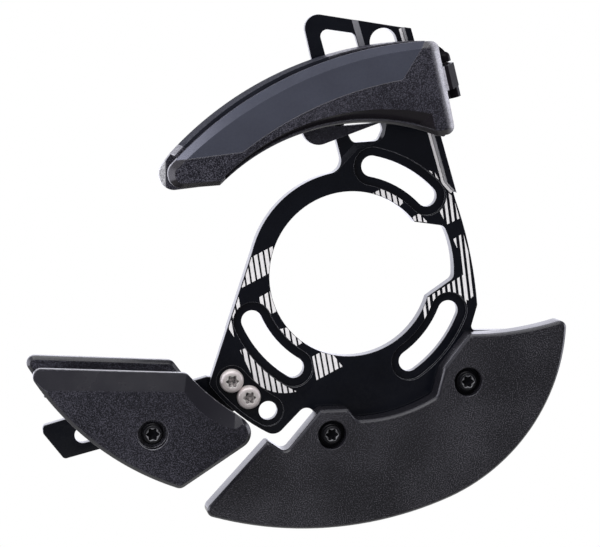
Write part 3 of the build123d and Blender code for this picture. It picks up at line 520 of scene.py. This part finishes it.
def rubber(name, dull, bright, rim, gloss):
    """Matt rubber from dull to bright, with the colour rim painted on its edges and on the bevel that faces
    left, as a highlight.
    """
    material, tree, shader = new_finish(name, bright, 0.75, specular=gloss)
    direction, edge = rounded_edges(tree, 0.30 * mm)
    # Painted highlight: the edges and the bevel that faces left are mixed towards the paler rim colour.
    painted_highlight = calculate(tree, "MULTIPLY", edge, between(tree, grain(tree, 500.0, 3.0), *rim_share))
    way = facing(tree)
    forwards = stretch(tree, way["Y"], *bevel_forwards)
    lit_rear_bevel = calculate(tree, "MULTIPLY", forwards, stretch(tree, way["X"], *bevel_left, 0.0, 0.8))
    painted_highlight = calculate(tree, "MAXIMUM", painted_highlight, lit_rear_bevel)
    bloom = shades(tree, grain(tree, 90.0, 4.0), [(0.3, dull), (0.7, bright)])
    tree.links.new(mix_colour(tree, painted_highlight, bloom, rim), shader.inputs["Base Color"])
    tree.links.new(between(tree, grain(tree, 1500.0, 2.0), *rubber_roughness), shader.inputs["Roughness"])
    bump(tree, shader, grain(tree, 4000.0, 2.0), 0.01 * mm, 0.3, direction)
    print("made", name)
    return material

soft_panel = rubber("panel_rubber", dull=(0.042, 0.045, 0.064), bright=(0.050, 0.054, 0.076),
                    rim=(0.24, 0.245, 0.31), gloss=0.25)
roof_rubber = rubber("roof_rubber", dull=(0.010, 0.011, 0.016), bright=(0.016, 0.017, 0.024),
                     rim=(0.12, 0.125, 0.15), gloss=0.04)

# %% [markdown]
# The bolts were turned on a lathe, so fine rings run round them. Rings could follow the distance from the
# axis, but each bolt has its own axis. So they follow an attribute that each turned piece carries: how far
# along its profile a point lies. Masks on the same attribute mark the socket and its lobed rim.

# %% Rings and masks along a turned profile
socket_end, rim_end = 3.15, 3.75
inside_step = (socket_end - 0.15, socket_end, 1.0, 0.0)
rim_steps = (socket_end - 0.05, socket_end + 0.10, 0.0, 1.0), (rim_end - 0.35, rim_end, 1.0, 0.0)

def along_profile(tree):
    """How far along the profile of a turned piece a point lies, in mm."""
    return add_node(tree, "Attribute", attribute_name="along").outputs["Fac"]

def turned(tree, low, high):
    """Roughness that changes in fine rings along the profile of a turned piece."""
    rings = add_node(tree, "TexNoise", noise_dimensions="1D")
    rings.inputs["Scale"].default_value = 9.0
    rings.inputs["Detail"].default_value = 3.0
    tree.links.new(along_profile(tree), rings.inputs["W"])
    return between(tree, rings.outputs["Fac"], low, high)

def profile_mask(tree, *steps):
    """Mask along the profile: steps are (from, to, at from, at to), in mm, multiplied together."""
    mask = 1.0
    for step in steps:
        mask = calculate(tree, "MULTIPLY", mask, stretch(tree, along_profile(tree), *step))
    return mask

print("a socket takes the first", socket_end, "mm of a profile, and its rim ends at", rim_end, "mm")

# %% [markdown]
# The two arm bolts are bright plated steel, slightly warm and satin from the plating bath. Their sockets are
# painted dark as shade, with a few painted glints, and the lobed rims get a painted highlight. The other
# fasteners have a black oxide skin, darker and a little oily, with the same painted highlight on rims and
# edges.

# %% Fastener steels
plating = [(0.3, (0.80, 0.725, 0.72)), (0.7, (0.92, 0.845, 0.835))]
socket_shade, plated_rim_highlight = (0.05, 0.05, 0.05), (0.95, 0.92, 0.90)
oxide = [(0.3, (0.003, 0.003, 0.004)), (0.7, (0.006, 0.006, 0.008))]
oxide_gloss, socket_gloss = 0.45, 0.10
steel_highlight, steel_edge_sheen = (0.26, 0.26, 0.28), 0.4
plated_roughness, oxide_roughness = (0.26, 0.42), (0.22, 0.38)

plated_steel, tree, shader = new_finish("bright_steel", (0.80, 0.76, 0.745), 0.35, metallic=0.2)
# Painted shade darkens the socket, broken by painted glints, and a painted highlight lightens the lobed rim.
glints = between(tree, grain(tree, 1100.0, 1.0), 1.0, 0.15)
inside = calculate(tree, "MULTIPLY", profile_mask(tree, inside_step), glints)
colour = mix_colour(tree, inside, shades(tree, grain(tree, 400.0, 3.0), plating), socket_shade)
colour = mix_colour(tree, profile_mask(tree, *rim_steps), colour, plated_rim_highlight)
tree.links.new(colour, shader.inputs["Base Color"])
tree.links.new(turned(tree, *plated_roughness), shader.inputs["Roughness"])

black_steel, tree, shader = new_finish("oxide_steel", (0.005, 0.005, 0.006), 0.30, specular=oxide_gloss)
direction, edge = rounded_edges(tree, 0.15 * mm)
# Painted highlight: the edges and the lobed rim are mixed towards a paler steel.
edge = calculate(tree, "MULTIPLY", edge, steel_edge_sheen)
highlight = calculate(tree, "MAXIMUM", edge, profile_mask(tree, *rim_steps))
highlight = calculate(tree, "MULTIPLY", highlight, between(tree, grain(tree, 1500.0, 2.0), 0.3, 1.0))
colour = mix_colour(tree, highlight, shades(tree, grain(tree, 500.0, 3.0), oxide), steel_highlight)
gloss = mix_number(tree, profile_mask(tree, inside_step), oxide_gloss, socket_gloss)
tree.links.new(colour, shader.inputs["Base Color"])
tree.links.new(turned(tree, *oxide_roughness), shader.inputs["Roughness"])
tree.links.new(gloss, shader.inputs["Specular IOR Level"])
tree.links.new(direction, shader.inputs["Normal"])
print("made", plated_steel.name, black_steel.name)

# %% [markdown]
# No machined or moulded edge is truly sharp: a mill leaves a small chamfer and a mould a small radius, and
# those thin bands are what catches the light. On the simpler solids modifiers do it: weld the loose
# triangles, join the flat ones into whole faces, round the sharp edges, and weight the normals so that the
# flat faces stay flat. The plate, the upper slider and the outer plate of the lower slider have slivers where
# that would tear, so they keep their CAD mesh and are rounded by their finish alone.

# %% Dress the CAD nodes
finish_of_slot = {"black_anodise": black_anodise, "speckled_nylon": slider_nylon, "soft_panel": soft_panel,
                  "plated_steel": plated_steel, "black_steel": black_steel}
finish_of_node = {"upper_slider_outer": door_nylon, "upper_slider_inner": hull_nylon,
                  "upper_roof_pad": roof_rubber, "bash_guard": guard_nylon, "lower_slider_inner": wall_nylon}
edge_of_node = {"bash_guard": 0.30, "lower_slider_inner": 0.25, "lower_arm_bracket": 0.20,
                "lower_slider_pad": 0.20, "hinge_pin": 0.15, "bash_nuts": 0.12, "lower_slider_nut": 0.12,
                "arm_sleeve_nuts": 0.12, "bash_washers": 0.10, "lower_slider_washer": 0.10,
                "upper_clamp_washer": 0.10}
slot_of_node = {part["node"]: part["material_slot"] for part in frame["record"]["subparts"]}
sharp_angle, flat_angle = math.radians(28), math.radians(0.5)

def soften(obj, width):
    """Rounds every sharp edge by width, in metres, on a welded mesh with its flat faces joined."""
    weld = obj.modifiers.new("weld", "WELD")
    weld.merge_threshold = 1e-6
    join = obj.modifiers.new("join_flats", "DECIMATE")
    join.decimate_type, join.angle_limit = "DISSOLVE", flat_angle
    obj.modifiers.new("split_well", "TRIANGULATE")
    edge = obj.modifiers.new("edge", "BEVEL")
    edge.width, edge.segments = width, 2
    edge.limit_method, edge.angle_limit = "ANGLE", sharp_angle
    edge.use_clamp_overlap = edge.loop_slide = False
    flat = obj.modifiers.new("flat_normals", "WEIGHTED_NORMAL")
    flat.keep_sharp = False

for node, obj in sorted(frame["nodes"].items()):
    obj.data.materials.clear()
    obj.data.materials.append(finish_of_node.get(node, finish_of_slot[slot_of_node[node]]))
    if node in edge_of_node:
        soften(obj, edge_of_node[node] * mm)
print("dressed", len(frame["nodes"]), "nodes,", len(edge_of_node), "of them with rounded edges")

# %% [markdown]
# The plate carries patches of plain white hatching, printed on the anodise. They could be painted by the
# material, but a print has a crisp edge at any distance and a little body, so each stripe is a thin closed
# slab that stands three hundredths of a millimetre proud. A patch lies between curves that the plate already
# has: the crank hole, the recesses round the mounting slots, and the plate's edges, with slanting cuts at its
# ends. All of them are circles or straight lines, so the height where a stripe meets one is a short formula.

# %% Curves that bound the hatching
print_gap = 0.15
hole_r = 27.65 + print_gap
recess_middle_r, recess_half_w = 36.5, 6.4
inner_r = recess_middle_r - recess_half_w - print_gap
outer_r = recess_middle_r + recess_half_w + print_gap
end_r = recess_half_w + print_gap
lug_recess_r = 47.9 - print_gap

def polar(radius, angle):
    """Spot (x, z) at an angle, in degrees, on a circle round the crank."""
    return radius * math.cos(math.radians(angle)), radius * math.sin(math.radians(angle))

def circle(side, radius, centre=(0.0, 0.0)):
    """Height where the stripe x = across - lean * z meets a circle.

    Side 1 is the upper crossing and side -1 the lower one.
    With a = across - centre x - lean * centre z, the height above the centre is
    (lean * a + side * sqrt(radius^2 * (1 + lean^2) - a^2)) / (1 + lean^2).
    Past the circle it is not a number.
    """
    def height(lean, across):
        a = across - centre[0] - lean * centre[1]
        inside = radius ** 2 * (1 + lean ** 2) - a ** 2
        root = np.sqrt(np.where(inside > 0, inside, np.nan))
        return centre[1] + (lean * a + side * root) / (1 + lean ** 2)
    return height

def line(first, second):
    """Height where a stripe meets the straight line through two spots: first z plus its share of the rise."""
    def height(lean, across):
        start, end = (spot[0] + lean * spot[1] for spot in (first, second))
        return first[1] + (across - start) / (end - start) * (second[1] - first[1])
    return height

over_hole, under_hole = circle(1, hole_r), circle(-1, hole_r)
rear_edge = line((-33.0, 8.3), (-47.6, -35.4))
front_edge = line((41.2, 4.0), (35.4, 24.3))
rear_recess_end = polar(recess_middle_r, -156.0)
top_recess_end = polar(recess_middle_r, 44.3)
front_recess_end = polar(recess_middle_r, -21.5)
print("curves start", print_gap, "mm from the edges of the plate")

# %% [markdown]
# Each patch has the width and the lean of its stripes, the place where one stripe crosses the height of the
# crank, the range from its first to its last stripe, the curves that it stays above, and the curves that it
# stays below. All were read from the photograph, in millimetres. The patches at the front have slimmer
# stripes.

# %% Patches of hatching
wide, slim = 1.22, 0.90

patches = {
    "rear_ring": (wide, 0.15, -31.2, (-37.8, -23.9),
                  [line((-37.2, -3.7), (-27.6, 1.1)), over_hole],
                  [line((-32.8, 6.9), (-25.5, 10.5)), rear_edge]),
    "rear_web": (wide, 0.15, -29.6, (-32.2, -27.1),
                 [circle(1, end_r, rear_recess_end), line((-27.0, -12.6), (-25.3, -11.7))],
                 [line((-31.0, -6.8), (-27.4, -4.9)), under_hole]),
    "rear_side": (wide, 0.16, -43.3, (-43.9, -38.3),
                  [line((-41.1, -17.3), (-39.8, -19.4)), circle(1, end_r, rear_recess_end)],
                  [rear_edge]),
    "rear_crescent": (wide, 0.18, -38.5, (-41.9, -25.4),
                      [line((-37.5, -24.6), (-33.6, -32.9)), circle(-1, 15.8, (-22.0, -23.5)),
                       circle(-1, lug_recess_r)],
                      [line((-37.5, -24.3), (-35.8, -23.7)), circle(-1, outer_r)]),
    "rear_inner": (wide, 0.17, -24.8, (-27.1, -20.6),
                   [circle(-1, inner_r), line((-19.0, -23.9), (-16.8, -22.7))],
                   [line((-24.1, -17.7), (-22.3, -17.3)), under_hole]),
    "bottom": (wide, 0.18, -16.1, (-18.1, -8.5),
               [line((-12.2, -35.6), (-2.9, -31.0))],
               [line((-13.6, -27.5), (-10.7, -26.1)), under_hole, line((-5.1, -28.1), (-2.9, -30.9))]),
    "top_arch": (wide, 0.20, 18.0, (12.6, 22.4),
                 [over_hole, line((17.0, 22.9), (17.7, 23.6))],
                 [line((7.2, 26.9), (10.1, 28.2)), circle(1, inner_r)]),
    "top_foot": (wide, 0.18, 26.7, (24.5, 29.0),
                 [over_hole, line((21.0, 17.5), (31.9, 15.9))],
                 [line((21.1, 18.7), (22.9, 19.7)), line((23.5, 19.7), (26.0, 17.1)),
                  circle(-1, end_r, top_recess_end)]),
    "top_end": (slim, 0.17, 34.7, (32.3, 35.5),
                [circle(1, outer_r)],
                [line((26.5, 34.2), (28.6, 33.4)), line((28.6, 33.4), (30.4, 30.4))]),
    "top_side": (slim, 0.14, 35.7, (33.3, 40.2),
                 [line((30.4, 20.3), (32.8, 15.9)), line((32.8, 15.9), (37.2, 17.9))],
                 [circle(-1, end_r, top_recess_end), line((32.9, 27.0), (34.6, 25.5)), front_edge]),
    "front_wedge": (slim, 0.13, 39.0, (36.6, 38.7),
                    [line((35.2, 10.9), (39.0, 2.5))],
                    [line((35.2, 11.0), (39.1, 13.1))]),
    "front_column": (slim, 0.13, 39.0, (38.7, 41.7),
                     [line((38.5, -9.2), (40.8, -10.0)), line((40.8, -10.0), (42.8, -8.2))],
                     [line((35.2, 11.0), (39.1, 13.1)), front_edge]),
    "front_fan": (slim, 0.13, 33.1, (26.0, 38.7),
                  [circle(1, end_r, front_recess_end)],
                  [line((25.5, -9.2), (36.4, -2.6))]),
    "front_web": (slim, 0.13, 33.1, (22.4, 26.0),
                  [line((24.3, -14.8), (25.8, -16.5)), circle(-1, inner_r)],
                  [under_hole, line((25.5, -9.2), (36.4, -2.6))]),
}
print(len(patches), "patches of hatching")

# %% [markdown]
# A stripe is a grid: one parameter runs across it, the other from the highest of its floors to the lowest of
# its ceilings. Many probes across the stripe first find the part of its width where it is open at all, and
# the grid is laid over that part alone.

# %% Grids of the stripes
stripe_pitch = 1.85
columns, rows, probes = 8, 9, 61
least_height, least_width = 0.15, 0.30

def hatch(stripe_width, lean, first, reach, floors, ceilings):
    """Grid points (stripe, row, column, x and z) of one patch.

    Along a stripe, across = x + lean * z stays the same. The row's share v gives z = low + v * (high - low),
    where low is the highest floor and high the lowest ceiling there, and then x = across - lean * z.
    """
    def low_and_high(across):
        return (np.fmax.reduce([floor(lean, across) for floor in floors]),
                np.fmin.reduce([ceiling(lean, across) for ceiling in ceilings]))

    start = math.floor((reach[0] - first) / stripe_pitch)
    end = math.ceil((reach[1] - first) / stripe_pitch)
    middle = first + stripe_pitch * np.arange(start, end + 1)
    left, right = (np.clip(middle + side * stripe_width / 2, *reach) for side in (-1, 1))
    across = np.linspace(left, right, probes, axis=1)
    low, high = low_and_high(across)
    open_here = high - low > least_height
    first_open = open_here.argmax(axis=1)[:, None]
    last_open = probes - 1 - open_here[:, ::-1].argmax(axis=1)[:, None]
    left, right = (np.take_along_axis(across, index, axis=1) for index in (first_open, last_open))
    kept = open_here.any(axis=1) & (right - left > least_width)[:, 0]
    across = left[kept] + (right - left)[kept] * np.linspace(0, 1, columns)
    low, high = low_and_high(across)
    z = low[:, None] + (high - low)[:, None] * np.linspace(0, 1, rows)[None, :, None]
    return np.stack([across[:, None] - lean * z, z], axis=-1)

stripes = np.concatenate([hatch(*patch) for patch in patches.values()])
print(len(stripes), "stripes")

# %% [markdown]
# The slab around each grid has a front and a back layer, and four strips of faces that close its sides. All
# faces are written as index arrays, so that no loop visits a vertex, and every strip runs anticlockwise seen
# from outside. A solid cut in CAD would give the same slab, but a print has no place among the solids.

# %% Slabs around the grids
print_proud, print_sunk = 0.03, 0.02
sharp_crease = math.radians(32)

def new_piece(name, points, faces, finish, body, slot):
    """A smooth mesh object from points in mm and faces; it rides on a body. The slot is not used."""
    mesh = bpy.data.meshes.new(name)
    mesh.from_pydata((np.asarray(points) * mm).tolist(), [], faces)
    mesh.polygons.foreach_set("use_smooth", np.ones(len(mesh.polygons), bool))
    mesh.set_sharp_from_angle(angle=sharp_crease)
    mesh.materials.append(finish)
    piece = bpy.data.objects.new(name, mesh)
    bpy.context.scene.collection.objects.link(piece)
    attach(piece, body)
    print(name, "has", len(mesh.vertices), "points and", len(mesh.polygons), "faces")
    return piece

def quads(*corners):
    """Faces from four index arrays of the same shape."""
    return np.stack(corners, axis=-1).reshape(-1, 4).tolist()

def slabs(grids):
    """Points and faces of a thin closed slab for each grid (row, column, x and z) on the plate's front."""
    flat = np.stack([grids, grids], axis=1)
    layers = np.array([plate_front - print_proud, plate_front + print_sunk])
    depth = np.broadcast_to(layers[:, None, None], flat.shape[:-1])
    points = np.stack([flat[..., 0], depth, flat[..., 1]], axis=-1)
    index = np.arange(depth.size).reshape(depth.shape)
    front, back = index[:, 0], index[:, 1]
    faces = (quads(front[:, :-1, :-1], front[:, :-1, 1:], front[:, 1:, 1:], front[:, 1:, :-1])
             + quads(back[:, :-1, :-1], back[:, 1:, :-1], back[:, 1:, 1:], back[:, :-1, 1:])
             + quads(front[:, :-1, 0], front[:, 1:, 0], back[:, 1:, 0], back[:, :-1, 0])
             + quads(front[:, :-1, -1], back[:, :-1, -1], back[:, 1:, -1], front[:, 1:, -1])
             + quads(front[:, 0, :-1], back[:, 0, :-1], back[:, 0, 1:], front[:, 0, 1:])
             + quads(front[:, -1, :-1], front[:, -1, 1:], back[:, -1, 1:], back[:, -1, :-1]))
    return points.reshape(-1, 3), faces

white_stops = [(0.3, (0.84, 0.82, 0.84)), (0.6, (0.93, 0.91, 0.93))]
# One white serves the printed stripes and the painted highlight along the rib.
print_and_highlight_white, tree, shader = new_finish("print_and_highlight_white", (0.90, 0.88, 0.90), 0.45, specular=0.4)
tree.links.new(shades(tree, grain(tree, 1300.0, 4.0), white_stops), shader.inputs["Base Color"])
tree.links.new(between(tree, grain(tree, 2600.0, 2.0), 0.38, 0.55), shader.inputs["Roughness"])
new_piece("plate_stripes", *slabs(stripes), print_and_highlight_white, "guide", "black_anodise")

# %% [markdown]
# A thin white line, a painted highlight, runs along the foot of the arm's rib, round its corner and up the
# arm. It is a band beside a path: the corner of the path is a quadratic curve between two straight runs, and
# the band takes the same slab and white as the stripes.

# %% Line at the foot of the rib
line_near, line_far, line_columns = 0.08, 0.95, 4
lower_share, upper_share = 0.15, 0.015

def ribbon(path, near, far):
    """Grid (row, column, x and z) of a band beside a path, on its left: path + distance * side."""
    way = np.gradient(path, axis=0)
    side = np.stack([-way[:, 1], way[:, 0]], axis=1) / np.hypot(*way.T)[:, None]
    return path[:, None] + side[:, None] * np.linspace(far, near, line_columns)[None, :, None]

rib_end, rib_foot, rib_top = np.array([(34.85, 27.08), (31.88, 30.20), (16.72, 81.14)])
before = rib_foot + lower_share * (rib_end - rib_foot)
after = rib_foot + upper_share * (rib_top - rib_foot)
share = np.linspace(0, 1, 9)[:, None]
lower_run = rib_end + share[:-1] * (before - rib_end)
corner = (1 - share) ** 2 * before + 2 * share * (1 - share) * rib_foot + share ** 2 * after
upper_run = after + share[1:] * (rib_top - after)
rib_path = np.concatenate([lower_run, corner, upper_run])
# Painted highlight: a white band at the foot of the rib, in the white of the print.
rib_highlight_band = ribbon(rib_path, line_near, line_far)
new_piece("rib_highlight", *slabs(rib_highlight_band[None]), print_and_highlight_white, "guide", "black_anodise")

# %% [markdown]
# A bolt is a profile turned round an axis, so it is one grid: a station along the profile, and an angle. A
# Screw modifier could turn it too, but two waves make it more than a lathe job. In the socket the radius
# swells six times round, which is the six-lobed drive, and on the shank it rises and falls along the length
# with a shift by the angle, which is a thread. The CAD bolts have sharp star sockets and smooth shanks, so
# these stand in for them, inside the same box.

# %% Lathe
thread_pitch, thread_depth, shank_r = 0.8, 0.42, 2.5
turn_steps, lobes = 72, 6

def lathe(stations, spots, seat):
    """Points and faces of the same turned piece at several spots (x, z), its seat at y = seat, in mm.

    A station is (radius, height, lobe, thread), height counted outboard from the seat. At angle a the radius
    is radius + lobe * cos(6 a) - thread * ridge, and ridge falls from 1 to 0 and back once in every pitch of
    height plus a full turn, so its crest climbs as a helix. The first and last stations lie on the axis, as
    single points. The third result is how far along the profile each point lies.
    """
    radius, height, lobe, thread = np.array(stations, float).T[:, :, None]
    angle = np.linspace(0, 2 * np.pi, turn_steps, endpoint=False)[None]
    ridge = np.abs(2 * ((angle / (2 * np.pi) + height / thread_pitch) % 1.0) - 1.0)
    reach = radius + lobe * np.cos(lobes * angle) - thread * ridge
    depth = np.broadcast_to(seat - height, reach.shape)
    wall = np.stack([reach * np.cos(angle), depth, reach * np.sin(angle)], axis=-1)
    one = np.concatenate([wall[1:-1].reshape(-1, 3), wall[[0, -1], 0]])
    rows = np.arange(one.shape[0] - 2).reshape(-1, turn_steps)
    after = np.roll(rows, -1, axis=1)
    near_pole = np.full(turn_steps, one.shape[0] - 2)
    far_pole = np.full(turn_steps, one.shape[0] - 1)
    sides = np.stack([rows[:-1], rows[1:], after[1:], after[:-1]], axis=-1).reshape(-1, 4)
    ends = np.concatenate([np.stack([near_pole, rows[0], after[0]], axis=-1),
                           np.stack([far_pole, after[-1], rows[-1]], axis=-1)])
    move = np.array([(x, 0.0, z) for x, z in spots])
    skip = np.arange(len(move))[:, None, None] * one.shape[0]
    points = (move[:, None] + one[None]).reshape(-1, 3)
    faces = (sides[None] + skip).reshape(-1, 4).tolist() + (ends[None] + skip).reshape(-1, 3).tolist()
    run = np.concatenate([[0.0], np.cumsum(np.hypot(np.diff(radius[:, 0]), np.diff(height[:, 0])))])
    along = np.concatenate([np.repeat(run[1:-1], turn_steps), run[[0, -1]]])
    return points, faces, np.tile(along, len(move))

print("a turned piece has", turn_steps, "steps round it and a thread every", thread_pitch, "mm")

# %% [markdown]
# There are two heads: a low dome for the arm bolts, and a cap on a flange for the others. Each is a row of
# radii and heights, from the rim of the socket round the head to its seat.

# %% Heads and shanks
socket_floor, tip_r = 0.50, 1.7
chamfer, run_in = 0.5, 0.3
stations_per_pitch = 10

socket_wall = [(1.83, 1.92, 0.31), (1.92, 2.08, 0.28), (2.14, 2.17, 0.12), (2.36, 2.20, 0)]
dome_side = [(2.80, 2.16), (3.20, 2.00), (3.55, 1.70), (3.80, 1.28), (3.94, 0.80), (4.00, 0.45), (4.00, 0.10),
             (3.92, 0.0)]
flange_side = [(2.62, 2.17), (2.84, 2.04), (2.93, 1.82), (2.97, 1.05), (3.06, 0.90), (3.48, 0.72),
               (3.58, 0.62), (3.60, 0.50), (3.60, 0.10), (3.52, 0.0)]

def head(side):
    """Stations of a head: a six-lobed socket from its drilled floor up to the rim, then the side."""
    floor = [(0, -0.40, 0), (1.20, 0.0, 0), (1.62, 0.05, 0.24), (1.78, 0.13, 0.30)]
    return ([(radius, socket_floor + rise, lobe, 0) for radius, rise, lobe in floor]
            + [(radius, height, lobe, 0) for radius, height, lobe in socket_wall]
            + [(radius, height, 0, 0) for radius, height in side])

def shank(length, plain):
    """Stations from under the head to the tip: plain first, then a thread, then a chamfer."""
    start, end = -plain, -length + chamfer
    heights = np.arange(start - run_in, end, -thread_pitch / stations_per_pitch)
    return ([(shank_r, 0.0, 0, 0), (shank_r, start, 0, 0)]
            + [(shank_r, height, 0, thread_depth) for height in heights]
            + [(shank_r - thread_depth, end, 0, 0), (tip_r, -length, 0, 0), (0, -length, 0, 0)])

dome, flange = head(dome_side), head(flange_side)
print("a dome has", len(dome), "stations, a flanged head", len(flange))

# %% [markdown]
# Each turned piece replaces one CAD node, and a pair of equal bolts is one piece, as it is one node there.

# %% Turned bolts
accessory_r = 53.1

def bolts(name, node, top, spots, seat, length, plain, finish, slot):
    """Bolts that stand in for a CAD node: the stations of their top, then a shank that starts plain."""
    points, faces, along = lathe(top + shank(length, plain), spots, seat)
    piece = new_piece(name, points, faces, finish, "guide", slot)
    profile = piece.data.attributes.new("along", "FLOAT", "POINT")
    profile.data.foreach_set("value", along.astype(np.float32))
    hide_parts(node)

bolts("arm_bolts_turned", "arm_bolts", dome, [polar(accessory_r, -139.4), polar(accessory_r, -130.65)],
      seat=-3.2, length=7.0, plain=1.0, finish=plated_steel, slot="plated_steel")
bolts("bash_bolts_turned", "bash_bolts", flange, [polar(accessory_r, -98.7), polar(accessory_r, -43.3)],
      seat=-9.4, length=13.0, plain=4.0, finish=black_steel, slot="black_steel")
bolts("slider_bolt_turned", "lower_slider_bolt", flange, [(-69.3, -46.7)],
      seat=-23.1, length=30.7, plain=22.0, finish=black_steel, slot="black_steel")
bolts("clamp_bolt_turned", "upper_clamp_bolt", flange, [(14.59, 62.84)],
      seat=-9.1, length=10.7, plain=4.0, finish=black_steel, slot="black_steel")
